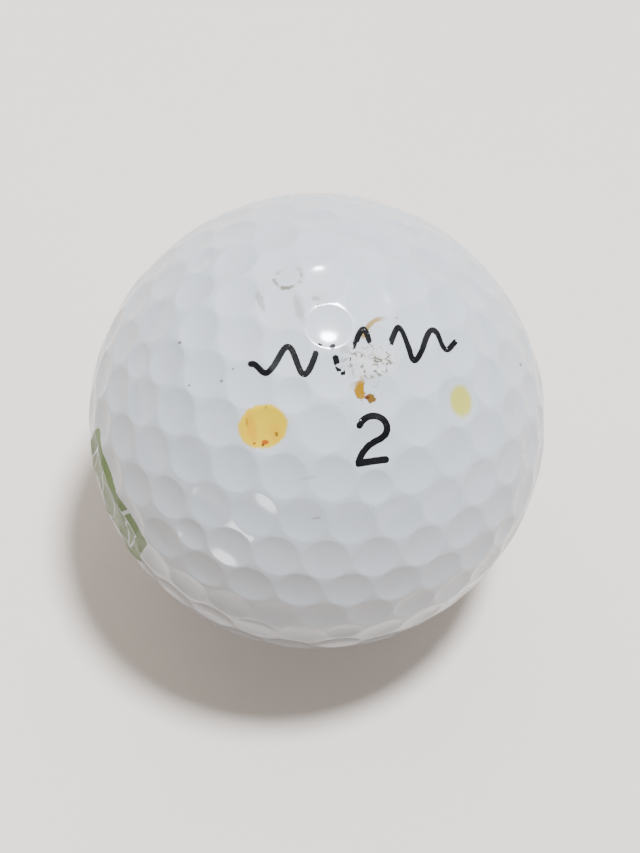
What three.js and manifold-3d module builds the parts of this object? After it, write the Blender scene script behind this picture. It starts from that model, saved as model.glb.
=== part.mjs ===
// A four-piece golf ball in millimetres, +Z up, with its origin at the ball's centre.
// It is built up the way the real ball is: a moulded rubber ball, two pressed rubber half shells,
// two ionomer half shells and two cast cover halves, the last with the dimples in their outer face.
import * as THREE from "three";
import { ConvexGeometry } from "three/addons/geometries/ConvexGeometry.js";
import { mergeVertices } from "three/addons/utils/BufferGeometryUtils.js";
import Module from "manifold-3d";

// Radii of the layers, and the glue line left between two of them.
const BALL_RADIUS = 21.335;
const MANTLE_RADIUS = 20.55;
const OUTER_CORE_RADIUS = 19.7;
const INNER_CORE_RADIUS = 12.7;
const GLUE_LINE = 0.05;

// Dimples: each generator stands for twelve of them, and a small one is this share of a full one.
const LAYOUT_SEED = 112;
const GENERATORS = 29;
const SMALL_DIMPLE = 0.76;
const DIMPLE_DEPTH = 0.26;
const DIMPLE_SIDES = 8;
const LAND_WIDTH = 0.12;

// How the ball lies, and how the dimple pattern lies in the ball: turns about X, Y and Z in
// degrees. The ball's own Z runs from the unmarked pole to the pole with the play number.
const LIE = [23.2, 11.4, 11.2];
const PATTERN_TURN = [45.9, -4.9, 5.5];

// Fineness of the round faces that don't show.
const CORE_DETAIL = 4;
const SHELL_DETAIL = 5;

const wasm = await Module();
wasm.setup();

// ---- dimple layout -------------------------------------------------------------------------

// A repeatable stream of numbers between 0 and 1. Its first few depend little on the seed, so
// they are left out.
function numberStream(seed) {
  let state = seed;
  const next = () => {
    state = (Math.imul(state, 1664525) + 1013904223) >>> 0;
    return state / 4294967296;
  };
  for (let i = 0; i < 4; i += 1) next();
  return next;
}

// The twelve directions that a point goes to under the turns of a tetrahedron.
function twelveTurns(point) {
  const { x, y, z } = point;
  const turned = [];
  for (const [a, b, c] of [[x, y, z], [y, z, x], [z, x, y]]) {
    for (const [p, q, r] of [[1, 1, 1], [1, -1, -1], [-1, 1, -1], [-1, -1, 1]]) {
      turned.push(new THREE.Vector3(a * p, b * q, c * r));
    }
  }
  return turned;
}

// Directions spread at random over the sphere.
function scatteredDirections(count, random) {
  const directions = [];
  for (let i = 0; i < count; i += 1) {
    const height = 2 * random() - 1;
    const turn = 2 * Math.PI * random();
    const across = Math.sqrt(1 - height * height);
    directions.push(new THREE.Vector3(across * Math.cos(turn), across * Math.sin(turn), height));
  }
  return directions;
}

// Lets the dimples push each other apart along the sphere until they are evenly packed.
function settle(generators, weights, pitch, rounds, firstStep) {
  const reach = 2.2 * pitch;
  const lastStep = 0.001;
  for (let round = 0; round < rounds; round += 1) {
    const all = generators.map(twelveTurns);
    const step = firstStep * (1 - round / rounds) + lastStep;
    const pushes = generators.map((here, i) => {
      const push = new THREE.Vector3();
      all.forEach((group, j) => {
        for (const there of group) {
          const apart = here.distanceTo(there);
          if (apart < 1e-6 || apart > reach) continue;
          const strength = ((pitch * (weights[i] + weights[j])) / 2 / apart) ** 8;
          push.addScaledVector(here.clone().sub(there), strength / apart);
        }
      });
      push.addScaledVector(here, -push.dot(here));
      return push.clampLength(0, 1);
    });
    generators.forEach((here, i) => here.addScaledVector(pushes[i], step).normalize());
  }
}

// Every dimple as its middle direction and its rim's half angle.
function dimpleLayout() {
  const pitch = Math.sqrt(4 * Math.PI / (12 * GENERATORS) / Math.sin(Math.PI / 3));
  const generators = scatteredDirections(GENERATORS, numberStream(LAYOUT_SEED));
  const weights = generators.map(() => 1);
  settle(generators, weights, pitch, 100, 0.04);

  // A dimple with five neighbours instead of six is a small one, and the others close up round it.
  let all = generators.map(twelveTurns);
  generators.forEach((here, i) => {
    const near = all.flat().filter((there) => here.distanceTo(there) < 1.37 * pitch);
    if (near.length - 1 <= 5) weights[i] = SMALL_DIMPLE;
  });
  settle(generators, weights, pitch, 60, 0.02);

  const turn = new THREE.Euler(...PATTERN_TURN.map(THREE.MathUtils.degToRad));
  all = generators.map(twelveTurns);
  const halfLand = LAND_WIDTH / BALL_RADIUS / 2;
  return generators.flatMap((here, i) => {
    const reaches = all.flatMap((group, j) => group
      .map((there) => here.angleTo(there))
      .filter((apart) => apart > 1e-3)
      .map((apart) => apart * weights[i] / (weights[i] + weights[j])));
    const halfAngle = Math.min(...reaches) - halfLand;
    return all[i].map((middle) => ({ middle: middle.clone().applyEuler(turn), halfAngle }));
  });
}

// ---- solids --------------------------------------------------------------------------------

function toSolid(geometry) {
  const bare = geometry.clone();
  bare.deleteAttribute("normal");
  bare.deleteAttribute("uv");
  const merged = mergeVertices(bare, 1e-4);
  return new wasm.Manifold(new wasm.Mesh({
    numProp: 3,
    vertProperties: merged.getAttribute("position").array,
    triVerts: new Uint32Array(merged.index.array),
  }));
}

function toGeometry(solid) {
  const mesh = solid.getMesh();
  const geometry = new THREE.BufferGeometry();
  geometry.setAttribute("position", new THREE.BufferAttribute(mesh.vertProperties, 3));
  geometry.setIndex(new THREE.BufferAttribute(mesh.triVerts, 1));
  geometry.computeVertexNormals();
  return geometry;
}

function ball(radius, detail) {
  return toSolid(new THREE.IcosahedronGeometry(radius, detail));
}

// The dimple's rim, as points of the ball's outer sphere.
function rimPoints({ middle, halfAngle }) {
  const side = new THREE.Vector3(0, 0, 1).cross(middle).normalize();
  const up = middle.clone().cross(side);
  const points = [];
  for (let k = 0; k < DIMPLE_SIDES; k += 1) {
    const turn = 2 * Math.PI * k / DIMPLE_SIDES;
    const outward = side.clone().multiplyScalar(Math.cos(turn)).addScaledVector(up, Math.sin(turn));
    const point = middle.clone().multiplyScalar(Math.cos(halfAngle));
    point.addScaledVector(outward, Math.sin(halfAngle)).multiplyScalar(BALL_RADIUS);
    points.push(point);
  }
  return points;
}

// The dimpled ball: the hull of all the rims is the land, and each rim's flat face in it makes
// way for a bowl.
function dimpledBall() {
  const dimples = dimpleLayout();
  const rims = dimples.map(rimPoints);
  const keyOf = (x, y, z) => [x, y, z].map(Math.fround).join(" ");
  const owner = new Map();
  rims.forEach((rim, i) => rim.forEach((p) => owner.set(keyOf(p.x, p.y, p.z), i)));

  const hull = new ConvexGeometry(rims.flat()).getAttribute("position");
  const faces = [];
  for (let i = 0; i < hull.count; i += 3) {
    const corners = [i, i + 1, i + 2].map((k) => [hull.getX(k), hull.getY(k), hull.getZ(k)]);
    const [a, b, c] = corners.map((corner) => owner.get(keyOf(...corner)));
    if (a !== b || b !== c) faces.push(...corners.flat());
  }
  dimples.forEach(({ middle }, i) => {
    const bottom = middle.clone().multiplyScalar(BALL_RADIUS - DIMPLE_DEPTH);
    rims[i].forEach((point, k) => {
      const next = rims[i][(k + 1) % DIMPLE_SIDES];
      faces.push(...point, ...next, ...bottom);
    });
  });
  const geometry = new THREE.BufferGeometry();
  geometry.setAttribute("position", new THREE.BufferAttribute(new Float32Array(faces), 3));
  return toSolid(geometry);
}

// One half of a shell, on the upper (1) or lower (-1) side of the seam plane.
function halfShell(outer, innerRadius, innerDetail, side) {
  const size = 3 * BALL_RADIUS;
  const block = new THREE.BoxGeometry(size, size, size);
  block.translate(0, 0, side * (size + GLUE_LINE) / 2);
  return outer.intersect(toSolid(block)).subtract(ball(innerRadius + GLUE_LINE, innerDetail));
}

// ---- assembly ------------------------------------------------------------------------------

const finishes = {
  innerCore: { color: 0xb4543a, roughness: 0.75, metalness: 0 },
  outerCore: { color: 0x3f7f96, roughness: 0.7, metalness: 0 },
  mantle: { color: 0xe9e2cf, roughness: 0.45, metalness: 0 },
  cover: { color: 0xdfe4e6, roughness: 0.22, metalness: 0 },
};

function piece(name, solid, finish) {
  const mesh = new THREE.Mesh(toGeometry(solid), new THREE.MeshStandardMaterial(finish));
  mesh.name = name;
  return mesh;
}

const golfBall = new THREE.Group();
golfBall.rotation.set(...LIE.map(THREE.MathUtils.degToRad));

golfBall.add(piece("inner_core", ball(INNER_CORE_RADIUS, CORE_DETAIL), finishes.innerCore));

const outerCore = ball(OUTER_CORE_RADIUS, SHELL_DETAIL);
const mantle = ball(MANTLE_RADIUS, SHELL_DETAIL);
const cover = dimpledBall();
for (const [half, side] of [["upper", 1], ["lower", -1]]) {
  const core = halfShell(outerCore, INNER_CORE_RADIUS, CORE_DETAIL, side);
  golfBall.add(piece(`outer_core_${half}`, core, finishes.outerCore));
  const casing = halfShell(mantle, OUTER_CORE_RADIUS, SHELL_DETAIL, side);
  golfBall.add(piece(`mantle_${half}`, casing, finishes.mantle));
  const skin = halfShell(cover, MANTLE_RADIUS, SHELL_DETAIL, side);
  golfBall.add(piece(`cover_${half}`, skin, finishes.cover));
}

const part = new THREE.Group();
part.add(golfBall);

export default part;
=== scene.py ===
"""A worn four-piece golf ball, built around its CAD frame.

Lengths on the ball are millimetres in its own frame, whose Z runs through the two printed poles
to the uppermost one. Its meshes are turned into metres when made. The stage is in metres.
"""
import math
from itertools import count

import bmesh
import bpy
import numpy as np
from bpy.props import FloatProperty, FloatVectorProperty, IntProperty, PointerProperty
from mathutils import Euler, Matrix, Vector, noise
from mathutils.geometry import delaunay_2d_cdt


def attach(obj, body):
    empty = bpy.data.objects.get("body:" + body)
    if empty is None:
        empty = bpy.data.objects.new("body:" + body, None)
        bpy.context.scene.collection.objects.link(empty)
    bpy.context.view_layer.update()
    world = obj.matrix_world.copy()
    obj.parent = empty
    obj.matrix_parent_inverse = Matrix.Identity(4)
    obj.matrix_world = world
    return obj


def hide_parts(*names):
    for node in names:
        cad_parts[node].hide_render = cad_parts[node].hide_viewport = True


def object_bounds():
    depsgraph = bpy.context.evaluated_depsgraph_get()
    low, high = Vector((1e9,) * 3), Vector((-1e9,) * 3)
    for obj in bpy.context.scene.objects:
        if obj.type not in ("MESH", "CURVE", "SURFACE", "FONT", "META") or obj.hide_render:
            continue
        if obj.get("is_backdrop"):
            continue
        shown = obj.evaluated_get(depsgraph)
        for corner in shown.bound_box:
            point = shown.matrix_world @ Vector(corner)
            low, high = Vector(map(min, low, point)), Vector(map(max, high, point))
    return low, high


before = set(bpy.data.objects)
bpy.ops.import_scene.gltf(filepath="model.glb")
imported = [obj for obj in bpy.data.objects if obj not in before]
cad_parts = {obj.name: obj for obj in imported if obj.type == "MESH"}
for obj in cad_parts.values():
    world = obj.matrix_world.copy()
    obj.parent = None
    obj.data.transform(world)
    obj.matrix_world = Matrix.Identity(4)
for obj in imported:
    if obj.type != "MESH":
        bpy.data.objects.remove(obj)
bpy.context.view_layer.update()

bl_info = {
    "name": "Golf Ball",
    "version": (1, 0, 0),
    "blender": (4, 5, 0),
    "location": "View3D > Sidebar > Golf Ball",
    "description": "Builds a worn four-piece golf ball around its CAD frame",
    "category": "Add Mesh",
}

MM = 0.001

# Layers, from the outside in.
BALL_RADIUS = 21.335
MANTLE_RADIUS = 20.55
OUTER_CORE_RADIUS = 19.7
INNER_CORE_RADIUS = 12.7
GLUE_LINE = 0.05
CORE_CLEARANCE = 0.04
INNER_DETAIL = 128

# The two halves of a layer, with the side of the seam plane that each lies on.
HALVES = (("upper", 1), ("lower", -1))

# The flash line where the inner core's mould halves meet, and the gate's mark on one pole.
FLASH_HEIGHT, FLASH_WIDTH = 0.04, 0.22
GATE_DEPTH, GATE_RADIUS = 0.06, 0.9

# The dimple pattern and how it lies in the ball, and how the ball lies on the floor.
LAYOUT_SEED = 112
GENERATORS = 29
SMALL_DIMPLE = 0.76
LAND_WIDTH = 0.12
PATTERN_TURN = (45.9, -4.9, 5.5)
LIE = (23.2, 11.4, 11.2)

# How a bowl is meshed: its rings as shares of the way to the rim, the last one on the land.
BOWL_RINGS = (0.16, 0.32, 0.47, 0.6, 0.71, 0.81, 0.89, 0.945, 0.98, 1.005, 1.028)
BOWL_SIDES = 40
BOWL_POWER = 2.3
RIM_SOFTNESS = 0.042

# Inks are thin films that stand a little proud of the cover and reach a little into it.
INK_PROUD = 0.018
INK_SUNK = 0.02
INK_GRID = 0.07

# The numeral's bend as middle, half width, half height and its two ends' angles, then the
# points down its neck to the foot's left end, and the foot's right end.
NUMBER_BEND = ((0.05, -3.27), 1.25, 1.13, (153, -38))
NUMBER_NECK = [(0.62, -4.2), (0.1, -4.36), (-0.5, -4.6),
               (-1.1, -5.07), (-1.5, -5.57), (-1.66, -5.9)]
NUMBER_FOOT = (0.79, -6.0)
NUMBER_MIDDLE = -4.0
NUMBER_BOLDNESS = 1.12

# The wave mark's middle, half width and height of a crest, its pitch, slope and slant.
WAVE_MIDDLE = (0.3, 3.7)
WAVE_REACH = 9.6
WAVE_CREST = 1.75
WAVE_PITCH = 3.35
WAVE_SLOPE = -0.045
WAVE_SLANT = 0.28

# The side stamp's turn in its own plane and its tilt, its half size, and its cells' pitch.
STAMP_TURN, STAMP_TILT = 10.8, 10.9
STAMP_HALF = (5.9, 3.9)
STAMP_CORNER = 0.6
CELL_PITCH = (2.6, 2.1)

# Colours of the light: the sky behind, in front of and below the ball, and what the camera sees.
SKY_BRIGHT = (1.08, 1.0, 0.905)
SKY_DARK = (0.042, 0.035, 0.029)
SKY_BELOW = (1.15, 1.0, 0.90)
BACKDROP = (2.0, 1.93, 1.85)
SUN_COLOUR = (0.955, 0.99, 1.035)
GLOW_COLOUR = (1.0, 0.98, 0.96)

# Where the two round lights come from, and how wide they are in degrees.
KEY_FROM, KEY_ANGLE = (0.204, 0.04, 0.978), 9.2
GLEAM_FROM, GLEAM_ANGLE = (0.102, 0.407, 0.908), 8.0
GLEAM_SHARE = 0.85

# In metres: the glow's place over the floor and its size, the floor's radius, and the camera's
# distance and its shift to the right and down. Its rise over the floor is in degrees.
GLOW_PLACE = (-0.062, -0.102, 0.024)
GLOW_SIZE = 0.026
FLOOR_RADIUS = 6.0
CAMERA_DISTANCE = 0.238
CAMERA_SHIFT = (0.00028, 0.00052)
CAMERA_RISE = 60
LENS = 106.93


# ---- dimples -------------------------------------------------------------------------------

def turn_matrix(degrees):
    """Turns about X, Y and Z, the one about Z made first."""
    return np.array(Euler([math.radians(d) for d in degrees], "ZYX").to_matrix())


def number_stream(seed):
    """A repeatable stream of numbers between 0 and 1, without its first four."""
    factor, step, span, skipped = 1664525, 1013904223, 2**32, 4
    state = seed
    for drawn in count():
        state = (state * factor + step) % span
        if drawn >= skipped:
            yield state / span


def twelve_turns(points):
    """The twelve directions that each point goes to under the turns of a tetrahedron."""
    signs = np.array([(1, 1, 1), (1, -1, -1), (-1, 1, -1), (-1, -1, 1)])
    rolled = np.stack([np.roll(points, -k, axis=1) for k in range(3)], axis=1)
    return (rolled[:, :, None] * signs).reshape(-1, 3)


def settle(points, weights, pitch, rounds, first_step):
    """Lets the dimples push each other apart along the sphere until they are evenly packed."""
    size = pitch * (weights[:, None] + np.repeat(weights, 12)) / 2
    reach = 2.2 * pitch
    last_step = 0.001
    for k in range(rounds):
        apart = points[:, None] - twelve_turns(points)
        length = np.linalg.norm(apart, axis=2)
        near = (length > 1e-6) & (length < reach)
        length = np.where(near, length, 1.0)
        strength = np.where(near, (size / length) ** 8 / length, 0.0)
        push = (apart * strength[..., None]).sum(axis=1)
        push -= (push * points).sum(axis=1, keepdims=True) * points
        push /= np.maximum(1.0, np.linalg.norm(push, axis=1, keepdims=True))
        points = points + (first_step * (1 - k / rounds) + last_step) * push
        points /= np.linalg.norm(points, axis=1, keepdims=True)
    return points


def dimple_layout():
    """The middle direction and the rim's half angle of every dimple."""
    pitch = math.sqrt(4 * math.pi / (12 * GENERATORS) / math.sin(math.pi / 3))
    random = number_stream(LAYOUT_SEED)
    points = []
    for _ in range(GENERATORS):
        height = 2 * next(random) - 1
        turn = 2 * math.pi * next(random)
        across = math.sqrt(1 - height * height)
        points.append((across * math.cos(turn), across * math.sin(turn), height))
    points = np.array(points)
    weights = np.ones(GENERATORS)
    points = settle(points, weights, pitch, 100, 0.04)

    # A dimple with five neighbours instead of six is a small one, and the others close up round it.
    apart = np.linalg.norm(points[:, None] - twelve_turns(points), axis=2)
    neighbours = (apart < 1.37 * pitch).sum(axis=1) - 1
    weights[neighbours <= 5] = SMALL_DIMPLE
    points = settle(points, weights, pitch, 60, 0.02)

    every = twelve_turns(points)
    angles = np.arccos(np.clip(points @ every.T, -1, 1))
    shares = weights[:, None] / (weights[:, None] + np.repeat(weights, 12))
    reach = np.where(angles > 1e-3, angles * shares, np.inf).min(axis=1)
    half_angles = np.repeat(reach - LAND_WIDTH / BALL_RADIUS / 2, 12)
    return every @ turn_matrix(PATTERN_TURN).T, half_angles


def bowl_depth(share, depth):
    """How far a bowl lies below the land, this share of the way from its middle to its rim."""
    def soft(at):
        plain = depth * (1 - at ** BOWL_POWER)
        return (plain + np.sqrt(plain * plain + RIM_SOFTNESS ** 2)) / 2
    return np.maximum(0.0, soft(np.asarray(share, float)) - soft(BOWL_RINGS[-1]))


class DimpledSurface:
    """The cover's outer face: round bowls, and the thin land between them."""

    def __init__(self, depth):
        self.depth = depth
        self.middles, self.half_angles = dimple_layout()

    def radius(self, directions):
        """The surface's distance from the ball's centre in each direction."""
        cosines = directions @ self.middles.T
        nearest = cosines.argmax(axis=1)
        angle = np.arccos(np.clip(cosines.max(axis=1), -1, 1))
        return BALL_RADIUS - bowl_depth(angle / self.half_angles[nearest], self.depth)

    def mesh(self):
        """Points and faces of the whole closed surface."""
        bowl_count = len(self.middles)
        side = np.cross((0.0, 0.0, 1.0), self.middles)
        side /= np.linalg.norm(side, axis=1, keepdims=True)
        up = np.cross(self.middles, side)
        turns = 2 * math.pi * np.arange(BOWL_SIDES) / BOWL_SIDES
        outward = (side[:, None] * np.cos(turns)[:, None] + up[:, None] * np.sin(turns)[:, None])

        bottoms = self.middles * (BALL_RADIUS - bowl_depth(0.0, self.depth))
        rings = []
        for share in BOWL_RINGS:
            angle = (self.half_angles * share)[:, None, None]
            ring = self.middles[:, None] * np.cos(angle) + outward * np.sin(angle)
            rings.append(ring * (BALL_RADIUS - bowl_depth(share, self.depth)))
        points = np.concatenate([bottoms, np.stack(rings, axis=1).reshape(-1, 3)])

        bowls = np.arange(bowl_count)[:, None]
        here = np.arange(BOWL_SIDES)
        after = (here + 1) % BOWL_SIDES
        first = bowl_count + bowls * len(BOWL_RINGS) * BOWL_SIDES
        middle = np.broadcast_to(bowls, (bowl_count, BOWL_SIDES))
        faces = np.stack([middle, first + here, first + after], axis=2).reshape(-1, 3).tolist()
        for k in range(len(BOWL_RINGS) - 1):
            low = first + k * BOWL_SIDES
            high = low + BOWL_SIDES
            quads = np.stack([low + here, high + here, high + after, low + after], axis=2)
            faces += quads.reshape(-1, 4).tolist()
        faces += self.land(points, first + (len(BOWL_RINGS) - 1) * BOWL_SIDES + here)
        return points, faces

    def land(self, points, rims):
        """Faces between the rims.

        Seen from the middle of the last dimple the sphere opens out flat, with that dimple's rim
        round all the others, and the land is what lies between them.
        """
        eye = self.middles[-1]
        across = np.cross(eye, (0.0, 0.0, 1.0))
        across /= np.linalg.norm(across)
        along = np.cross(eye, across)
        numbers = rims.reshape(-1)
        places = points[numbers] / np.linalg.norm(points[numbers], axis=1, keepdims=True)
        spread = 1 / (1 - places @ eye)
        opened = np.stack([places @ across * spread, places @ along * spread], axis=1)
        flat = [Vector(pair) for pair in opened]
        edges = [(k, k + 1 if (k + 1) % BOWL_SIDES else k + 1 - BOWL_SIDES)
                 for k in range(len(numbers))]
        _, _, triangles, sources, _, _ = delaunay_2d_cdt(flat, edges, [], 0, 1e-7)
        faces = []
        for triangle in triangles:
            corners = [sources[corner][0] for corner in triangle]
            if len({corner // BOWL_SIDES for corner in corners}) > 1:
                faces.append([int(numbers[corner]) for corner in corners])
        return faces


# ---- solids --------------------------------------------------------------------------------

def add_to_ball(thing, slot, *nodes):
    """Turns a mesh made in the ball's frame as the ball lies, and hands it to the frame."""
    thing.data.transform(Matrix(turn_matrix(LIE)).to_4x4())
    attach(thing, "root")
    if nodes:
        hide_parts(*nodes)
    return thing


def new_object(name, mesh, material):
    mesh.materials.append(material)
    thing = bpy.data.objects.new(name, mesh)
    bpy.context.scene.collection.objects.link(thing)
    return thing


def new_lamp(name, kind, energy, colour):
    light = bpy.data.lights.new(name, kind)
    light.energy = energy
    light.color = colour
    lamp = bpy.data.objects.new(name, light)
    bpy.context.scene.collection.objects.link(lamp)
    return lamp


def add_bowl_of_rings(form, radius, side, level, sides, rings):
    """A half sphere whose edge lies at a level of Z. Returns its edge's corners in turn."""
    start = math.asin(level / radius)
    rows = []
    for k in range(rings):
        lift = start + (math.pi / 2 - start) * k / rings
        across = radius * math.cos(lift)
        height = side * radius * math.sin(lift)
        row = []
        for j in range(sides):
            turn = 2 * math.pi * j / sides
            row.append(form.verts.new((across * math.cos(turn), across * math.sin(turn), height)))
        rows.append(row)
    for low, high in zip(rows, rows[1:]):
        for j in range(sides):
            after = (j + 1) % sides
            form.faces.new((low[j], low[after], high[after], high[j]))
    pole = form.verts.new((0, 0, side * radius))
    for j in range(sides):
        form.faces.new((rows[-1][j], rows[-1][(j + 1) % sides], pole))
    return rows[0]


def close_between(form, outer, inner):
    """Faces of the flat ring between two edges that both run once round the Z axis."""
    def by_angle(edge):
        return sorted((math.atan2(v.co.y, v.co.x), k, v) for k, v in enumerate(edge))

    def corner(edge, k):
        angle, _, vert = edge[k % len(edge)]
        return angle + 2 * math.pi * (k // len(edge)), vert

    outer = by_angle(outer)
    inner = by_angle(inner)
    i = j = 0
    while i < len(outer) or j < len(inner):
        a, b = corner(outer, i)[1], corner(inner, j)[1]
        outer_angle, next_outer = corner(outer, i + 1)
        inner_angle, next_inner = corner(inner, j + 1)
        if j >= len(inner) or (i < len(outer) and outer_angle <= inner_angle):
            form.faces.new((a, next_outer, b))
            i += 1
        else:
            form.faces.new((a, next_inner, b))
            j += 1


def finish_form(form, name):
    """A mesh in metres with smooth faces and crisp edges at the seam."""
    crisp = math.radians(50)
    bmesh.ops.recalc_face_normals(form, faces=form.faces[:])
    for face in form.faces:
        face.smooth = True
    for edge in form.edges:
        if len(edge.link_faces) == 2 and edge.calc_face_angle() > crisp:
            edge.smooth = False
    bmesh.ops.scale(form, vec=(MM, MM, MM), verts=form.verts[:])
    mesh = bpy.data.meshes.new(name)
    form.to_mesh(mesh)
    form.free()
    return mesh


def half_shell_mesh(name, outer_radius, inner_radius, side, level, sides):
    form = bmesh.new()
    outer = add_bowl_of_rings(form, outer_radius, side, level, sides, sides // 4)
    inner = add_bowl_of_rings(form, inner_radius, side, level, sides // 2, sides // 8)
    close_between(form, outer, inner)
    return finish_form(form, name)


def cover_mesh(name, surface, side, level):
    """Half of the dimpled surface, closed by the cover's smooth inner face."""
    points, faces = surface.mesh()
    whole = bpy.data.meshes.new("whole_cover")
    whole.from_pydata(points.tolist(), [], faces)
    form = bmesh.new()
    form.from_mesh(whole)
    bpy.data.meshes.remove(whole)
    everything = form.verts[:] + form.edges[:] + form.faces[:]
    bmesh.ops.bisect_plane(form, geom=everything, dist=1e-5, plane_co=(0, 0, side * level),
                           plane_no=(0, 0, side), clear_inner=True)
    edge = [v for v in form.verts if v.is_boundary]
    inner = add_bowl_of_rings(form, MANTLE_RADIUS + GLUE_LINE, side, level,
                              INNER_DETAIL, INNER_DETAIL // 4)
    close_between(form, edge, inner)
    mesh = finish_form(form, name)
    places = np.zeros(len(mesh.vertices) * 3)
    mesh.vertices.foreach_get("co", places)
    radius = np.linalg.norm(places.reshape(-1, 3), axis=1) / MM
    share = np.clip((BALL_RADIUS - radius) / surface.depth, 0, 1)
    mesh.attributes.new("bowl", "FLOAT", "POINT").data.foreach_set("value", share)
    return mesh


# ---- inks ----------------------------------------------------------------------------------

class Print:
    """A flat drawing on a grid, which becomes a thin film on the cover.

    The drawing looks along an axis of the ball: right and up are its own two directions.
    """

    def __init__(self, right, up, low, high):
        self.right = np.array(right, float)
        self.up = np.array(up, float)
        self.axis = np.cross(self.right, self.up)
        across = np.arange(low[0], high[0], INK_GRID)
        along = np.arange(low[1], high[1], INK_GRID)
        self.x, self.y = np.meshgrid(across, along)

    def from_line(self, points):
        """Distance of every grid point from a line through the points."""
        nearest = np.full(self.x.shape, np.inf)
        for (ax, ay), (bx, by) in zip(points[:-1], points[1:]):
            dx, dy = bx - ax, by - ay
            share = ((self.x - ax) * dx + (self.y - ay) * dy) / (dx * dx + dy * dy)
            share = np.clip(share, 0, 1)
            away = np.hypot(self.x - ax - share * dx, self.y - ay - share * dy)
            nearest = np.minimum(nearest, away)
        return nearest

    def from_box(self, middle, half, corner):
        """Signed distance from a box with rounded corners, negative inside it."""
        dx = np.abs(self.x - middle[0]) - half[0] + corner
        dy = np.abs(self.y - middle[1]) - half[1] + corner
        outside = np.hypot(np.maximum(dx, 0), np.maximum(dy, 0))
        return outside + np.minimum(np.maximum(dx, dy), 0) - corner

    def grain(self, size, seed):
        """Smooth noise between about -1 and 1 over the grid."""
        flat = [noise.noise((x / size, y / size, seed)) for x, y in zip(self.x.flat, self.y.flat)]
        return np.array(flat).reshape(self.x.shape)

    def outline(self, values):
        """Points and faces of the part of the grid where the values are negative."""
        numbers = {}
        points = []
        faces = []

        def corner(key):
            if key not in numbers:
                numbers[key] = len(points)
                points.append((self.x[key], self.y[key]))
            return numbers[key]

        def crossing(a, b):
            key = (min(a, b), max(a, b))
            if key not in numbers:
                numbers[key] = len(points)
                a, b = key
                share = np.clip(values[a] / (values[a] - values[b]), 0.1, 0.9)
                points.append((self.x[a] + share * (self.x[b] - self.x[a]),
                               self.y[a] + share * (self.y[b] - self.y[a])))
            return numbers[key]

        inked = values < 0
        busy = inked[:-1, :-1] | inked[1:, :-1] | inked[:-1, 1:] | inked[1:, 1:]
        for j, i in zip(*np.nonzero(busy)):
            corners = [(j, i), (j, i + 1), (j + 1, i + 1), (j + 1, i)]
            face = []
            for a, b in zip(corners, corners[1:] + corners[:1]):
                if inked[a]:
                    face.append(corner(a))
                if inked[a] != inked[b]:
                    face.append(crossing(a, b))
            faces.append(face)
        return np.array(points), faces

    def film(self, name, values, surface, tone=None):
        """The closed film over the negative values. Tone is a shade that its ink can read."""
        flat, faces = self.outline(values)
        height = np.sqrt(BALL_RADIUS ** 2 - (flat ** 2).sum(axis=1))
        directions = flat[:, :1] * self.right + flat[:, 1:] * self.up + height[:, None] * self.axis
        directions /= np.linalg.norm(directions, axis=1, keepdims=True)
        radius = surface.radius(directions)[:, None]
        top, bottom = directions * (radius + INK_PROUD), directions * (radius - INK_SUNK)
        points = np.concatenate([top, bottom])
        under = len(flat)
        sides = dict.fromkeys(pair for face in faces for pair in zip(face, face[1:] + face[:1]))
        closed = faces + [[k + under for k in reversed(face)] for face in faces]
        closed += [[b, a, a + under, b + under] for a, b in sides if (b, a) not in sides]
        mesh = bpy.data.meshes.new(name)
        mesh.from_pydata((points * MM).tolist(), [], closed)
        mesh.shade_smooth()
        if tone is not None:
            shades = np.array([tone(x, y) for x, y in flat])
            attribute = mesh.attributes.new("tone", "FLOAT", "POINT")
            attribute.data.foreach_set("value", np.tile(shades, 2))
        return mesh


def play_number_line():
    """The numeral 2, as the line that its stroke follows."""
    (x, y), width, height, ends = NUMBER_BEND
    bend = [(x + width * math.cos(a), y + height * math.sin(a))
            for a in np.radians(np.linspace(*ends, 24))]
    return bend + NUMBER_NECK + [NUMBER_FOOT]


def wave_line():
    """A plain wave that dies away towards its ends."""
    middle, level = WAVE_MIDDLE
    line = []
    for x in np.arange(-9.1, 9.7, 0.08):
        fade = 1 - (abs(x - middle) / WAVE_REACH) ** 2
        swing = WAVE_CREST * fade ** 0.6 * math.sin(2 * math.pi * x / WAVE_PITCH + 0.6)
        height = level + WAVE_SLOPE * x + swing
        line.append((x + WAVE_SLANT * (height - level), height))
    return line


# ---- shader maths --------------------------------------------------------------------------

class Number:
    """A number that varies over a surface. Arithmetic on it adds Math nodes."""

    def __init__(self, nodes, socket):
        self.nodes = nodes
        self.socket = socket

    def __add__(self, other):
        return self.nodes.math("ADD", self, other)

    def __radd__(self, other):
        return self.nodes.math("ADD", other, self)

    def __sub__(self, other):
        return self.nodes.math("SUBTRACT", self, other)

    def __rsub__(self, other):
        return self.nodes.math("SUBTRACT", other, self)

    def __mul__(self, other):
        return self.nodes.math("MULTIPLY", self, other)

    def __rmul__(self, other):
        return self.nodes.math("MULTIPLY", other, self)

    def __abs__(self):
        return self.nodes.math("ABSOLUTE", self)


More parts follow.
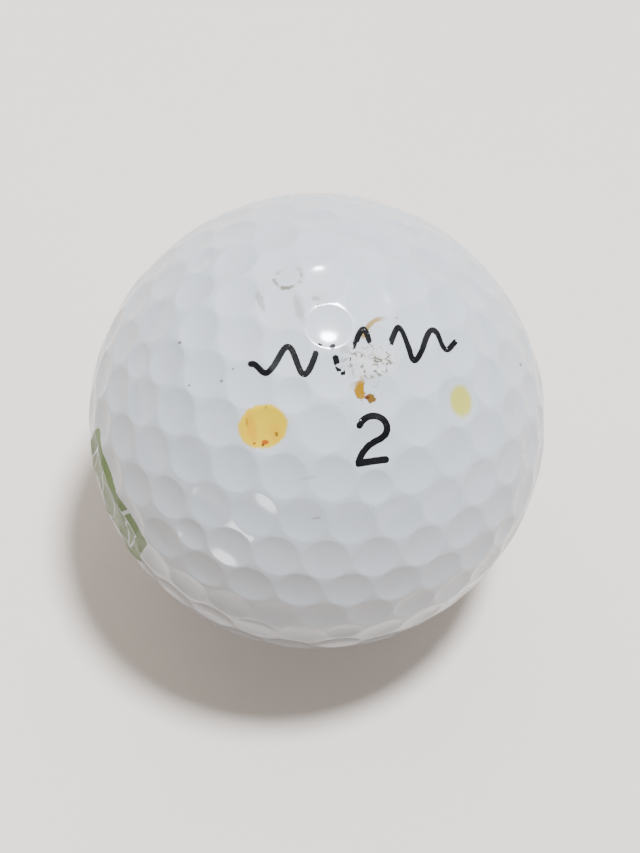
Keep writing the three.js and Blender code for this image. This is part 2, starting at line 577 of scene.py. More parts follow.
class Nodes:
    """A node tree under construction."""

    def __init__(self, owner):
        owner.use_nodes = True
        self.tree = owner.node_tree
        self.tree.nodes.clear()

    def node(self, kind, settings=None, sockets=None):
        """Any node: its settings are set first, then its sockets' values and links."""
        node = self.tree.nodes.new(kind)
        for name, value in (settings or {}).items():
            setattr(node, name, value)
        self.feed(node, sockets or {})
        return node

    def feed(self, node, sockets):
        for key, value in sockets.items():
            if isinstance(value, Number):
                value = value.socket
            if isinstance(value, bpy.types.NodeSocket):
                self.tree.links.new(value, node.inputs[key])
            elif isinstance(value, tuple) and node.inputs[key].type == "RGBA":
                node.inputs[key].default_value = (*value, 1.0)
            else:
                node.inputs[key].default_value = value

    def number(self, output, kind, settings=None, sockets=None):
        """One output of a new node, as a number to reckon with."""
        return Number(self, self.node(kind, settings, sockets).outputs[output])

    def math(self, operation, *values):
        return self.number(0, "ShaderNodeMath", {"operation": operation}, dict(enumerate(values)))

    def vector(self, operation, *values):
        sockets = dict(enumerate(values))
        return self.node("ShaderNodeVectorMath", {"operation": operation}, sockets).outputs[0]

    def length(self, vector):
        return self.number("Value", "ShaderNodeVectorMath", {"operation": "LENGTH"}, {0: vector})

    def axes(self, vector):
        """The X, Y and Z of a vector."""
        parts = self.node("ShaderNodeSeparateXYZ", {}, {0: vector}).outputs
        return [Number(self, part) for part in parts]

    def mix(self, share, first, second):
        """One colour over another, by a share from 0 to 1."""
        settings = {"data_type": "RGBA", "clamp_factor": True}
        return self.node("ShaderNodeMix", settings, {0: share, 6: first, 7: second}).outputs[2]

    def ramp(self, value, start, end, low=0.0, high=1.0, shape="LINEAR"):
        """One number at the start, another at the end, and between them in between."""
        sockets = {"Value": value, "From Min": start, "From Max": end,
                   "To Min": low, "To Max": high}
        return self.number("Result", "ShaderNodeMapRange", {"interpolation_type": shape}, sockets)

    def ease(self, value, start, end):
        """0 at the start, 1 at the end, and smooth between."""
        return self.ramp(value, start, end, shape="SMOOTHSTEP")


class Finish(Nodes):
    """A material under construction."""

    def __init__(self, name):
        self.material = bpy.data.materials.new(name)
        super().__init__(self.material)
        self.shader = self.node("ShaderNodeBsdfPrincipled")
        self.node("ShaderNodeOutputMaterial", {}, {"Surface": self.shader.outputs[0]})
        place = self.node("ShaderNodeTexCoord").outputs["Object"]
        back = [-math.radians(d) for d in LIE]
        sockets = {"Vector": place, "Rotation": back, "Scale": (1 / MM,) * 3}
        self.place = self.node("ShaderNodeMapping", {"vector_type": "POINT"}, sockets).outputs[0]

    def noise(self, size, detail=2.0, roughness=0.5, place=None, shift=0.0):
        """Noise whose grain has this size in millimetres."""
        place = place or self.place
        if shift:
            place = self.vector("ADD", place, (shift, shift * 0.7, -shift))
        sockets = {"Vector": place, "Scale": 1 / size, "Detail": detail, "Roughness": roughness}
        return self.number(0, "ShaderNodeTexNoise", {}, sockets)

    def cells(self, size):
        """Distance from the nearest of many scattered points, in cells."""
        sockets = {"Vector": self.place, "Scale": 1 / size}
        return self.number("Distance", "ShaderNodeTexVoronoi", {"feature": "F1"}, sockets)

    def attribute(self, name):
        return self.number("Fac", "ShaderNodeAttribute", {"attribute_name": name})

    def seal(self, sockets, relief, height):
        """Wires the shader, with a relief this many millimetres high. Returns the material."""
        bump = {"Height": relief, "Distance": height * MM, "Strength": 1.0}
        normal = self.node("ShaderNodeBump", {}, bump).outputs[0]
        self.feed(self.shader, {**sockets, "Normal": normal})
        return self.material


# ---- finishes ------------------------------------------------------------------------------

STAIN_YELLOW = (0.86, 0.60, 0.015)
STAIN_ORANGE = (0.78, 0.36, 0.008)
RUST_ORANGE = (0.38, 0.20, 0.003)
RUST_BROWN = (0.11, 0.028, 0.006)
GRASS_PALE = (0.64, 0.62, 0.06)
GRIME = (0.33, 0.32, 0.29)
SPECK = (0.10, 0.095, 0.09)

# Marks of use on the two cover halves: middle, half width, half height, softness of the edge,
# raggedness, strength and colour.
UPPER_MARKS = [
    ((-9.0, -1.25, 19.3), 2.05, 1.9, 0.16, 0.10, 1.0, STAIN_YELLOW),
    ((-9.95, -1.3, 18.8), 0.42, 1.35, 1.2, 0.5, 0.6, STAIN_ORANGE),
    ((-8.1, -1.9, 19.5), 0.5, 0.8, 1.0, 0.8, 0.4, STAIN_ORANGE),
    ((-9.0, -2.6, 19.1), 0.3, 0.22, 0.5, 0.8, 0.9, (0.50, 0.06, 0.003)),
    ((-9.25, -2.8, 19.0), 0.16, 0.13, 0.4, 0.8, 0.9, RUST_BROWN),
    ((-9.9, -2.5, 18.8), 0.13, 0.10, 0.4, 0.8, 0.8, RUST_BROWN),
    ((-8.0, -2.1, 19.6), 0.13, 0.22, 0.4, 0.8, 0.7, RUST_BROWN),
    ((-10.2, -0.6, 18.7), 0.09, 0.45, 0.6, 0.8, 0.6, RUST_ORANGE),
    ((-8.5, 0.3, 19.6), 0.1, 0.14, 0.5, 0.8, 0.5, RUST_ORANGE),
    ((8.75, -2.05, 19.3), 1.1, 1.4, 0.5, 0.12, 0.9, GRASS_PALE),
    ((-0.45, 0.2, 21.3), 0.5, 0.85, 0.25, 0.9, 1.0, RUST_ORANGE),
    ((-0.15, 0.9, 21.3), 0.22, 0.5, 0.4, 0.9, 0.8, RUST_ORANGE),
    ((0.36, -0.62, 21.3), 0.42, 0.42, 0.25, 0.9, 1.0, (0.19, 0.10, 0.014)),
    ((0.02, -0.5, 21.3), 0.24, 0.2, 0.3, 0.8, 0.95, RUST_BROWN),
    ((-1.0, 0.75, 21.3), 0.35, 0.3, 0.5, 0.9, 0.5, (0.50, 0.40, 0.26)),
    ((-1.01, 3.92, 20.9), 0.5, 0.35, 0.7, 0.6, 0.5, GRIME),
    ((-6.8, 9.7, 17.7), 0.3, 0.95, 0.7, 0.8, 0.6, GRIME),
    ((-2.25, 8.9, 19.3), 0.42, 0.22, 0.6, 0.8, 0.6, GRIME),
    ((-2.2, 8.2, 19.6), 0.2, 0.2, 0.6, 0.8, 0.55, GRIME),
    ((-3.9, 8.2, 19.3), 0.35, 1.2, 0.9, 0.9, 0.5, GRIME),
    ((-5.65, -9.75, 18.1), 0.42, 0.12, 0.5, 0.8, 0.6, GRIME),
    ((-6.0, -6.3, 19.5), 0.75, 0.16, 0.6, 0.8, 0.3, GRIME),
    ((-13.9, 7.7, 14.3), 0.16, 0.13, 0.4, 0.5, 0.75, SPECK),
    ((-11.5, 3.4, 17.7), 0.14, 0.12, 0.4, 0.5, 0.75, SPECK),
    ((-14.0, 3.7, 15.6), 0.13, 0.11, 0.4, 0.5, 0.7, SPECK),
    ((-10.4, 4.2, 18.1), 0.12, 0.1, 0.4, 0.5, 0.7, SPECK),
    ((16.5, 0.7, 13.5), 0.16, 0.14, 0.4, 0.5, 0.7, SPECK),
    ((15.3, -7.0, 13.1), 0.14, 0.12, 0.4, 0.5, 0.7, SPECK),
    ((4.3, 6.0, 19.9), 0.14, 0.12, 0.4, 0.8, 0.6, GRIME),
]
LOWER_MARKS = [
    ((6.2, 4.1, -20.0), 1.1, 0.7, 0.7, 0.6, 0.45, GRIME),
    ((-9.4, -3.3, -18.9), 0.9, 1.3, 0.5, 0.4, 0.6, GRASS_PALE),
    ((2.3, -12.6, -17.1), 0.6, 0.25, 0.5, 0.6, 0.55, GRIME),
    ((12.8, -6.1, -15.9), 0.15, 0.12, 0.4, 0.5, 0.7, SPECK),
    ((-3.1, 11.7, -17.5), 0.13, 0.12, 0.4, 0.5, 0.7, SPECK),
]

# Where the cover is rubbed dull, as middle, half width and half height, the chip beside it in the
# same terms, and the rusty curved mark, as middle, radius and its two ends' X.
SCUFF = ((0.9, 2.5, 21.2), 2.3, 1.55)
CHIP = ((0.25, -0.1, 21.3), 1.5, 1.1)
RUST_ARC = ((2.9, 4.0, 20.6), 2.12, 0.6, 3.7)

# The dried ring, the dimple whose rim has lost its ink, and the spot cleared of ink as a painted
# highlight under the gleam's glint, each as middle and radius.
SMUDGE_RING = ((-3.97, 11.43, 17.57), 1.25)
WORN_DIMPLE = ((-2.0, 5.6, 20.5), 1.72)
PAINTED_GLINT_SPOT = ((-2.25, 5.6, 20.5), 0.8)


def shaded(colour, *shares):
    """A colour times one share, or times one share for each of its parts."""
    return tuple(c * share for c, share in zip(colour, shares * (3 // len(shares))))


def mark_mask(finish, middle, half_width, half_height, softness, raggedness, ragged_noise):
    """1 inside an oval mark with a ragged edge, and 0 outside it."""
    half_depth = max(half_width, half_height) * 2.5
    away = finish.vector("SUBTRACT", finish.place, middle)
    away = finish.vector("DIVIDE", away, (half_width, half_height, half_depth))
    distance = finish.length(away) + (ragged_noise - 0.5) * (2 * raggedness)
    return finish.ease(distance, 1 + softness / 2, 1 - softness / 2)


def worn_urethane(name, colour, marks, worn):
    """Glossy white urethane with the marks of a season's play, before its shader is wired."""
    finish = Finish(name)
    ragged = finish.noise(0.5, 3.0, 0.6)
    cloud = finish.noise(9.0, 2.0)
    fine = finish.noise(0.18, 3.0, 0.6)
    bowl = finish.attribute("bowl")

    warm = shaded(colour, 0.97, 0.955, 0.93)
    base = finish.mix(finish.ease(cloud, 0.4, 0.75) * 0.5, tuple(colour), warm)
    film = finish.ease(finish.noise(2.6, 5.0, 0.62, shift=7.0), 0.52, 0.8) * worn
    base = finish.mix(film * 0.22, base, (0.50, 0.47, 0.42))
    settled = finish.ease(bowl, 0.75, 1.0) * finish.ease(finish.noise(1.4, 3.0), 0.5, 0.72)
    base = finish.mix(settled * (0.16 * worn), base, (0.46, 0.43, 0.38))
    dots = finish.ease(finish.cells(1.9), 0.07, 0.03) * finish.ease(cloud, 0.5, 0.62)
    base = finish.mix(dots * (0.5 * worn), base, (0.30, 0.28, 0.26))

    dull = film * 0.3 + dots * 0.4
    for middle, width, height, softness, raggedness, strength, mark_colour in marks:
        mask = mark_mask(finish, middle, width, height, softness, raggedness, ragged)
        base = finish.mix(mask * strength, base, mark_colour)
        dull = finish.math("MAXIMUM", dull, mask * 0.6)
    relief = fine * 0.12 + finish.noise(0.9, 2.0) * 0.5
    return finish, base, dull, relief, ragged


def seal_cover(finish, base, dull, relief):
    """Wires the cover's colour, gloss and relief, under its clear coat."""
    gloss_noise = finish.noise(0.7, 4.0, 0.6, shift=3.0)
    return finish.seal({
        "Base Color": base,
        "Roughness": 0.42 + dull * 0.25 + gloss_noise * 0.08,
        "Coat Weight": 1.0 - dull * 0.75,
        "Coat Roughness": 0.11,
        "Coat IOR": 1.5,
        "IOR": 1.48,
        "Specular IOR Level": 0.15,
    }, relief, 0.012)


def upper_cover_finish(colour, worn):
    finish, base, dull, relief, ragged = worn_urethane(
        "cover_urethane_upper", colour, UPPER_MARKS, worn)

    # The rubbed patch: pale and dull, crossed by fine scratches.
    patch = mark_mask(finish, *SCUFF, 0.5, 0.45, finish.noise(1.1, 4.0, 0.65))
    torn = finish.noise(0.22, 4.0, 0.7, shift=11.0)
    lines = finish.ease(abs(finish.noise(0.95, 3.0, 0.62, shift=5.0) - 0.5), 0.045, 0.02)
    broken = finish.ease(finish.noise(0.7, 3.0, 0.6, shift=9.0), 0.43, 0.52)
    base = finish.mix(patch * 0.45, base, (0.76, 0.71, 0.68))
    base = finish.mix(patch * lines * broken * 0.9, base, (0.13, 0.11, 0.06))
    base = finish.mix(patch * finish.ease(torn, 0.66, 0.74) * 0.55, base, (0.52, 0.40, 0.24))
    dull = finish.math("MAXIMUM", dull, patch)

    # Hair cracks that run out from the chip.
    near_chip = mark_mask(finish, *CHIP, 0.8, 0.3, ragged)
    hair = finish.ease(abs(finish.noise(0.9, 2.0, 0.5, shift=2.0) - 0.5), 0.012, 0.0)
    base = finish.mix(near_chip * hair * 0.6, base, (0.35, 0.24, 0.18))

    # The rusty curved mark.
    centre, radius, start, end = RUST_ARC
    away = finish.vector("SUBTRACT", finish.place, centre)
    away = finish.vector("MULTIPLY", away, (1.0, 1.0, 0.0))
    off_line = abs(finish.length(away) - radius) + (ragged - 0.5) * 0.12
    across, along, _ = finish.axes(finish.place)
    reach = finish.ease(across, start - 0.05, start + 0.15) * finish.ease(across, end, end - 1.3)
    arc = finish.ease(off_line, 0.28, 0.14) * reach * finish.ease(along, 4.5, 4.75)
    base = finish.mix(arc * 0.9, base, (0.36, 0.225, 0.03))

    # A broken ring where something wet dried.
    centre, radius = SMUDGE_RING
    ring = abs(finish.length(finish.vector("SUBTRACT", finish.place, centre)) - radius)
    ring = finish.ease(ring + (ragged - 0.5) * 0.5, 0.3, 0.05)
    gaps = finish.ease(finish.noise(1.0, 3.0, shift=4.0), 0.35, 0.6)
    ring = ring * finish.ease(along, 12.6, 11.4) * gaps
    base = finish.mix(ring, base, (0.22, 0.205, 0.165))

    relief = relief + patch * torn * 1.2 - patch * lines * 1.0
    return seal_cover(finish, base, dull, relief)


def lower_cover_finish(colour, worn):
    finish, base, dull, relief, _ = worn_urethane(
        "cover_urethane_lower", colour, LOWER_MARKS, worn)
    return seal_cover(finish, base, dull, relief)


def rubber_finish(name, colour, fleck, roughness):
    """Moulded rubber: mottled, with ground flecks and a faintly pebbled skin."""
    finish = Finish(name)
    cloud = finish.noise(3.5, 4.0, 0.6)
    grit = finish.noise(0.35, 3.0, 0.6)
    base = finish.mix(finish.ease(cloud, 0.35, 0.7), tuple(colour), shaded(colour, 0.72))
    flecks = finish.ease(finish.cells(1.1), 0.16, 0.09)
    base = finish.mix(flecks * 0.7, base, fleck)
    return finish.seal({
        "Base Color": base,
        "Roughness": roughness + grit * 0.15 - flecks * 0.1,
        "IOR": 1.52,
    }, grit * 0.7 + cloud * 0.3, 0.05)


def ionomer_finish(colour):
    """Moulded ionomer: milky and waxy, with flow marks away from the gate."""
    finish = Finish("mantle_ionomer")
    cloud = finish.noise(6.0, 3.0)
    stretched = finish.vector("MULTIPLY", finish.place, (1.0, 1.0, 0.25))
    flow = finish.noise(0.8, 4.0, 0.6, place=stretched)
    deeper = shaded(colour, 0.93, 0.9, 0.82)
    base = finish.mix(finish.ease(cloud, 0.35, 0.7), tuple(colour), deeper)
    base = finish.mix(finish.ease(flow, 0.5, 0.75) * 0.15, base, (0.80, 0.78, 0.72))
    return finish.seal({
        "Base Color": base,
        "Roughness": 0.34 + flow * 0.18,
        "IOR": 1.49,
        "Subsurface Weight": 0.15,
        "Subsurface Scale": 0.001,
    }, flow, 0.02)


def black_ink_finish(colour):
    """Pad-printed black under the clear coat, thinned and pitted by play."""
    finish = Finish("black_ink")
    cloud = finish.noise(1.6, 4.0, 0.6)
    grain = finish.noise(0.16, 4.0, 0.65)
    thinner = tuple(c * 2 + 0.01 for c in colour)
    base = finish.mix(finish.ease(cloud, 0.5, 0.78) * 0.4, tuple(colour), thinner)
    pits = finish.ease(grain, 0.64, 0.68) * finish.ease(cloud, 0.5, 0.6)
    base = finish.mix(pits * 0.8, base, (0.62, 0.61, 0.59))
    return finish.seal({
        "Base Color": base,
        "Roughness": 0.4 + grain * 0.15,
        "Specular IOR Level": 0.15,
        "Coat Weight": 0.14 - pits * 0.1,
        "Coat Roughness": 0.11,
    }, grain, 0.006)


def green_ink_finish(colour):
    """Two greens of one side stamp: tone 1 is the full colour, and tone 0 its pale tint."""
    finish = Finish("green_ink")
    tone = finish.attribute("tone")
    grain = finish.noise(0.2, 4.0, 0.65)
    tint = tuple(c * 1.1 + 0.17 for c in colour)
    base = finish.mix(tone, tint, tuple(colour))
    pits = finish.ease(grain, 0.66, 0.72)
    base = finish.mix(pits * 0.4, base, (0.60, 0.62, 0.50))
    return finish.seal({
        "Base Color": base,
        "Roughness": 0.45 + grain * 0.15,
        "Specular IOR Level": 0.2,
        "Coat Weight": 0.2 - pits * 0.15,
        "Coat Roughness": 0.12,
    }, grain, 0.006)


def floor_finish(colour):
    """Matt pale board."""
    finish = Finish("floor_board")
    cloud = finish.noise(60.0, 3.0)
    grain = finish.noise(0.6, 4.0, 0.6)
    base = finish.mix(finish.ease(cloud, 0.3, 0.75), tuple(colour), shaded(colour, 0.965))
    base = finish.mix(finish.ease(grain, 0.45, 0.8) * 0.12, base, shaded(colour, 0.9))
    return finish.seal({
        "Base Color": base,
        "Roughness": 0.75 + grain * 0.1,
        "Specular IOR Level": 0.25,
    }, grain, 0.02)


# ---- what a user can change ----------------------------------------------------------------

class GolfBallSizes(bpy.types.PropertyGroup):
    """Sizes in millimetres."""

    dimple_depth: FloatProperty(
        name="Dimple depth", default=0.26, min=0.1, max=0.4,
        description="Depth of a bowl below the sphere of the land, in millimetres")
    seam_gap: FloatProperty(
        name="Seam gap", default=0.012, min=0.0, max=0.1,
        description="Width of the hairline between the two cover halves, in millimetres")
    stroke: FloatProperty(
        name="Print stroke", default=0.52, min=0.2, max=1.0,
        description="Width of the printed lines, in millimetres")
    play_number_scale: FloatProperty(
        name="Play number scale", default=1.0, min=0.5, max=1.5,
        description="Size of the play number, where 1 is its usual size")
    shell_sides: IntProperty(
        name="Shell sides", default=160, min=32, max=320,
        description="Points round the seam of each inner shell")


def colour_property(name, default, description):
    return FloatVectorProperty(name=name, default=default, subtype="COLOR", size=3, min=0, max=1,
                               description=description)


class GolfBallColours(bpy.types.PropertyGroup):
    """Colours of the layers and inks."""

    cover: colour_property("Cover", (0.66, 0.72, 0.80), "Urethane cover under its clear coat")
    mantle: colour_property("Mantle", (0.80, 0.75, 0.62), "Ionomer casing layer")
    outer_core: colour_property("Outer core", (0.05, 0.22, 0.31), "Pressed rubber half shells")
    inner_core: colour_property("Inner core", (0.46, 0.09, 0.045), "Moulded rubber ball")
    black_ink: colour_property("Black ink", (0.006, 0.0065, 0.008), "Play number and wave mark")
    green_ink: colour_property("Green ink", (0.125, 0.215, 0.04), "Side stamp")
    wear: FloatProperty(
        name="Wear", default=1.0, min=0.0, max=1.5, subtype="FACTOR",
        description="How far play has dulled and soiled the cover")


class GolfBallStage(bpy.types.PropertyGroup):
    """Floor and lights."""

    floor: colour_property("Floor", (0.93, 0.86, 0.80), "Board that the ball lies on")
    key: FloatProperty(
        name="Key light", default=5.6, min=0.0,
        description="Strength of the round light overhead and of the gleam beside it")
    glow: FloatProperty(
        name="Glow", default=0.03, min=0.0, unit="POWER",
        description="Power of the small patch of light in front on the left")
    bounce: FloatProperty(
        name="Bounce", default=0.65, min=0.0,
        description="Brightness of the light that comes up from the floor")
    sky: FloatProperty(
        name="Sky", default=0.69, min=0.0,
        description="Brightness of the even light all round")


class GolfBallSettings(bpy.types.PropertyGroup):
    """Everything that the makers read."""

    sizes: PointerProperty(type=GolfBallSizes)
    colours: PointerProperty(type=GolfBallColours)
    stage: PointerProperty(type=GolfBallStage)


# ---- makers --------------------------------------------------------------------------------

class MakeCores(bpy.types.Operator):
    """Make the moulded rubber ball and the two pressed rubber half shells round it"""

    bl_idname = "golf_ball.make_cores"
    bl_label = "Make Cores"

    def execute(self, context):
        settings = context.scene.golf_ball
        sides = settings.sizes.shell_sides
        form = bmesh.new()
        bmesh.ops.create_icosphere(form, subdivisions=6, radius=INNER_CORE_RADIUS)
        for vert in form.verts:
            lift = FLASH_HEIGHT * math.exp(-(vert.co.z / FLASH_WIDTH) ** 2)
            from_gate = math.hypot(vert.co.x, vert.co.y)
            if vert.co.z > 0:
                lift -= GATE_DEPTH * math.exp(-(from_gate / GATE_RADIUS) ** 4)
            vert.co += vert.co.normalized() * lift
        rubber = rubber_finish("inner_core_rubber", settings.colours.inner_core,
                               (0.62, 0.30, 0.16), 0.62)
        core = new_object("inner_core_ball", finish_form(form, "inner_core_ball"), rubber)
        add_to_ball(core, "inner_core_rubber", "inner_core")

        rubber = rubber_finish("outer_core_rubber", settings.colours.outer_core,
                               (0.30, 0.48, 0.52), 0.58)
        hollow = INNER_CORE_RADIUS + GLUE_LINE + CORE_CLEARANCE
        for half, side in HALVES:
            name = f"outer_core_shell_{half}"
            mesh = half_shell_mesh(name, OUTER_CORE_RADIUS, hollow, side, GLUE_LINE / 2, sides)
            shell = new_object(name, mesh, rubber)
            add_to_ball(shell, "outer_core_rubber", f"outer_core_{half}")
        return {"FINISHED"}


class MakeMantle(bpy.types.Operator):
    """Make the two ionomer half shells that stiffen the ball under its cover"""

    bl_idname = "golf_ball.make_mantle"
    bl_label = "Make Mantle"

    def execute(self, context):
        settings = context.scene.golf_ball
        ionomer = ionomer_finish(settings.colours.mantle)
        for half, side in HALVES:
            name = f"mantle_shell_{half}"
            mesh = half_shell_mesh(name, MANTLE_RADIUS, OUTER_CORE_RADIUS + GLUE_LINE, side,
                                   GLUE_LINE / 2, settings.sizes.shell_sides)
            add_to_ball(new_object(name, mesh, ionomer), "mantle_ionomer", f"mantle_{half}")
        return {"FINISHED"}


class MakeCover(bpy.types.Operator):
    """Make the two cast urethane cover halves with their dimples"""

    bl_idname = "golf_ball.make_cover"
    bl_label = "Make Cover"

    def execute(self, context):
        settings = context.scene.golf_ball
        surface = DimpledSurface(settings.sizes.dimple_depth)
        colour = settings.colours.cover
        worn = settings.colours.wear
        level = settings.sizes.seam_gap / 2
        finishes = {1: upper_cover_finish(colour, worn), -1: lower_cover_finish(colour, worn)}
        for half, side in HALVES:
            name = f"cover_half_{half}"
            mesh = cover_mesh(name, surface, side, level)
            cover = new_object(name, mesh, finishes[side])
            add_to_ball(cover, "cover_urethane", f"cover_{half}")
        return {"FINISHED"}


class MakePrints(bpy.types.Operator):
    """Print the play number and the wave mark on both poles, and the stamp on the side"""

    bl_idname = "golf_ball.make_prints"
    bl_label = "Make Prints"

    def execute(self, context):
        settings = context.scene.golf_ball
        surface = DimpledSurface(settings.sizes.dimple_depth)
        black = black_ink_finish(settings.colours.black_ink)
        half_stroke = settings.sizes.stroke / 2
        scale = settings.sizes.play_number_scale
        number = [(x * scale, NUMBER_MIDDLE + (y - NUMBER_MIDDLE) * scale)
                  for x, y in play_number_line()]
        for half, side in HALVES:
            drawing = Print((side, 0, 0), (0, 1, 0), (-1.9, -6.5), (1.9, -1.4))
            chips = np.maximum(0, drawing.grain(0.25, 2.0 + side) - 0.5) * 0.9
            values = drawing.from_line(number) - half_stroke * NUMBER_BOLDNESS + chips
            values += drawing.grain(0.35, 9.0) * 0.012
            name = f"play_number_{half}"
            film = new_object(name, drawing.film(name, values, surface), black)
            add_to_ball(film, "black_ink")

            drawing = Print((side, 0, 0), (0, 1, 0), (-10.4, 0.6), (10.6, 6.9))
            values = drawing.from_line(wave_line()) - half_stroke + drawing.grain(0.35, 4.0) * 0.015
            values += self.worn_away_and_glint(drawing, side)
            name = f"wave_mark_{half}"
            film = new_object(name, drawing.film(name, values, surface), black)
            add_to_ball(film, "black_ink")
        self.print_stamp(settings, surface)
        return {"FINISHED"}

    def worn_away_and_glint(self, drawing, side):
        """How much of the stroke's half width play has taken off.

        On the upper pole the ink is also taken off where the gleam's glint falls, as a painted
        highlight.
        """
        ragged = drawing.grain(0.55, 1.0) * 0.5 + drawing.grain(0.2, 6.0) * 0.25
        chips = np.maximum(0, ragged - 0.3) * 1.6
        if side < 0:
            return chips
        (x, y, _), width, height = SCUFF
        rubbed = 1.25 - np.hypot((drawing.x - x) / width, (drawing.y - y) / height) + ragged
        (x, y, _), radius = WORN_DIMPLE
        rim = 1.0 - np.abs(np.hypot(drawing.x - x, drawing.y - y) - radius) / 0.42 + ragged * 0.8
        # A painted highlight: the ink is taken off where the gleam's glint falls, so the white
        # cover shows.
        (x, y, _), radius = PAINTED_GLINT_SPOT
        painted_glint = 1.4 - np.hypot(drawing.x - x, drawing.y - y) / radius + ragged * 0.6
        # Rubbed wear, together with the ink taken off for the painted highlight.
        worn = np.clip(rubbed, 0, 1) + np.clip(painted_glint, 0, 1)
        return chips + worn * 1.2 + np.clip(rim, 0, 1) * 0.6

    def print_stamp(self, settings, surface):
        """A bordered panel of small cells across the seam."""
        turn, tilt = math.radians(STAMP_TURN), math.radians(STAMP_TILT)
        along = np.array((0, -math.cos(tilt), math.sin(tilt)))
        right = math.cos(turn) * along + math.sin(turn) * np.array((1, 0, 0))
        up = (0, math.sin(tilt), math.cos(tilt))
        drawing = Print(right, up, (-6.4, -4.4), (6.4, 4.4))
        box = drawing.from_box((0, 0), STAMP_HALF, STAMP_CORNER)
        pale_line = 0.16 - np.abs(box + 1.35)
        break_line = 0.2 - np.abs(drawing.x - 1.6 - 0.25 * drawing.y)
        inside = box < -1.4
        wide, high = CELL_PITCH
        columns = 0.13 - np.abs((drawing.x + 0.35 * drawing.y) % wide - wide / 2)
        rows = 0.13 - np.abs(drawing.y % high - high / 2)
        gaps = np.where(inside, np.maximum(columns, rows), np.maximum(pale_line, break_line))
        values = np.maximum(box, gaps) + drawing.grain(0.3, 3.0) * 0.04
        values += np.maximum(0, drawing.grain(0.45, 8.0) - 0.42) * 0.8

        def tone(x, y):
            if abs(x) > 4.5:
                return 0.6
            return 1.0 if abs(y) > 2.5 else 0.1

        green = green_ink_finish(settings.colours.green_ink)
        film = new_object("side_stamp", drawing.film("side_stamp", values, surface, tone), green)
        add_to_ball(film, "green_ink")


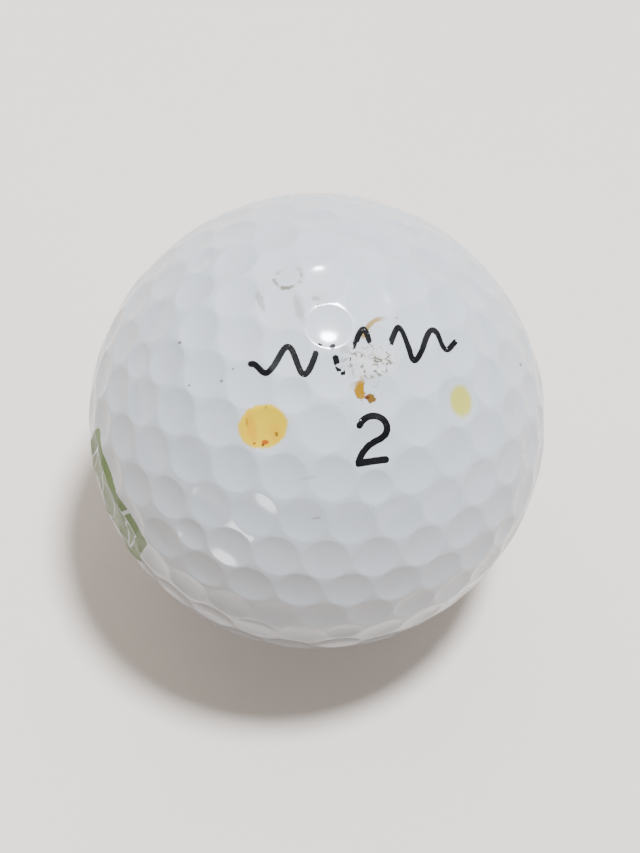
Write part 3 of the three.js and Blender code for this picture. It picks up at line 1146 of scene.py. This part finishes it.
class SetStage(bpy.types.Operator):
    """Set the floor, the lights and the camera"""

    bl_idname = "golf_ball.set_stage"
    bl_label = "Set Stage"

    def execute(self, context):
        stage = context.scene.golf_ball.stage
        low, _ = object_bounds()
        self.make_floor(stage, low.z)
        self.make_sky(context.scene, stage)
        self.make_key(stage)
        self.make_glow(stage, low.z)
        self.make_camera(context.scene)
        return {"FINISHED"}

    def make_floor(self, stage, level):
        form = bmesh.new()
        bmesh.ops.create_circle(form, cap_ends=True, segments=96, radius=FLOOR_RADIUS)
        mesh = bpy.data.meshes.new("floor")
        form.to_mesh(mesh)
        form.free()
        floor = new_object("floor", mesh, floor_finish(stage.floor))
        floor.location.z = level
        floor.visible_diffuse = False
        floor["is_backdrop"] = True

    def make_sky(self, scene, stage):
        """Soft light all round: bright behind the ball, dark in front of it, warm from below.

        The floor itself lights nothing, so the light from below stands for it. The camera sees
        an even backdrop instead.
        """
        sky = bpy.data.worlds.new("studio_sky")
        nodes = Nodes(sky)
        place = nodes.node("ShaderNodeTexCoord").outputs["Generated"]
        aside, behind, above = nodes.axes(place)
        share = nodes.ramp(behind, -0.9, 0.9) * nodes.ramp(above, 0.0, 0.8, 0.22, 1.2)
        share = share * nodes.ramp(abs(aside), 0.35, 0.95, 1.0, 0.4)
        dark, bright = shaded(SKY_DARK, 2 * stage.sky), shaded(SKY_BRIGHT, 2 * stage.sky)
        colour = nodes.mix(share, dark, bright)
        underneath = nodes.math("LESS_THAN", above, 0.0)
        colour = nodes.mix(underneath, colour, shaded(SKY_BELOW, stage.bounce))
        seen = nodes.number("Is Camera Ray", "ShaderNodeLightPath")
        colour = nodes.mix(seen, colour, BACKDROP)
        back = nodes.node("ShaderNodeBackground", {}, {"Color": colour}).outputs[0]
        nodes.node("ShaderNodeOutputWorld", {}, {"Surface": back})
        scene.world = sky

    def make_key(self, stage):
        """The round light overhead makes the shadow, and the gleam beside it makes the glint."""
        for name, towards, angle, energy, diffuse in (
                ("key_light", KEY_FROM, KEY_ANGLE, stage.key, True),
                ("gleam_light", GLEAM_FROM, GLEAM_ANGLE, stage.key * GLEAM_SHARE, False)):
            lamp = new_lamp(name, "SUN", energy, SUN_COLOUR)
            lamp.data.angle = math.radians(angle)
            lamp.rotation_euler = Vector(towards).to_track_quat("Z", "Y").to_euler()
            lamp.visible_diffuse = diffuse
            lamp.visible_glossy = not diffuse

    def make_glow(self, stage, level):
        """A small light patch low in front on the left, seen only in the gloss."""
        lamp = new_lamp("glow_light", "AREA", stage.glow, GLOW_COLOUR)
        lamp.data.shape = "DISK"
        lamp.data.size = GLOW_SIZE
        lamp.location = GLOW_PLACE
        lamp.location.z += level
        lamp.rotation_euler = lamp.location.to_track_quat("Z", "Y").to_euler()
        lamp.visible_camera = False
        lamp.visible_diffuse = False

    def make_camera(self, scene):
        """Looks down on the ball from high above the floor."""
        rise = math.radians(CAMERA_RISE)
        towards = Vector((0, -math.cos(rise), math.sin(rise)))
        up = Vector((0, math.sin(rise), math.cos(rise)))
        right = Vector((1, 0, 0))
        data = bpy.data.cameras.new("camera")
        data.sensor_width = 36
        data.lens = LENS
        data.clip_start = 0.01
        data.clip_end = 50
        camera = bpy.data.objects.new("camera", data)
        aside, down = CAMERA_SHIFT
        place = towards * CAMERA_DISTANCE + right * aside - up * down
        axes = Matrix((right, up, towards)).transposed().to_4x4()
        camera.matrix_world = Matrix.Translation(place) @ axes
        scene.collection.objects.link(camera)
        scene.camera = camera


class GolfBallPanel(bpy.types.Panel):
    """Settings and makers of the golf ball"""

    bl_idname = "VIEW3D_PT_golf_ball"
    bl_label = "Golf Ball"
    bl_space_type = "VIEW_3D"
    bl_region_type = "UI"
    bl_category = "Golf Ball"

    def draw(self, context):
        settings = context.scene.golf_ball
        for title, group in (("Sizes", settings.sizes), ("Colours", settings.colours),
                             ("Stage", settings.stage)):
            box = self.layout.box()
            box.label(text=title)
            for name in type(group).__annotations__:
                box.prop(group, name)
        for maker in MAKERS:
            self.layout.operator(maker.bl_idname)


MAKERS = (MakeCores, MakeMantle, MakeCover, MakePrints, SetStage)
CLASSES = (GolfBallSizes, GolfBallColours, GolfBallStage, GolfBallSettings, *MAKERS, GolfBallPanel)


def register():
    for each in CLASSES:
        bpy.utils.register_class(each)
    bpy.types.Scene.golf_ball = PointerProperty(type=GolfBallSettings)


def unregister():
    del bpy.types.Scene.golf_ball
    for each in reversed(CLASSES):
        bpy.utils.unregister_class(each)


def main():
    register()
    bpy.ops.golf_ball.make_cores()
    bpy.ops.golf_ball.make_mantle()
    bpy.ops.golf_ball.make_cover()
    bpy.ops.golf_ball.make_prints()
    bpy.ops.golf_ball.set_stage()


if __name__ == "__main__":
    main()
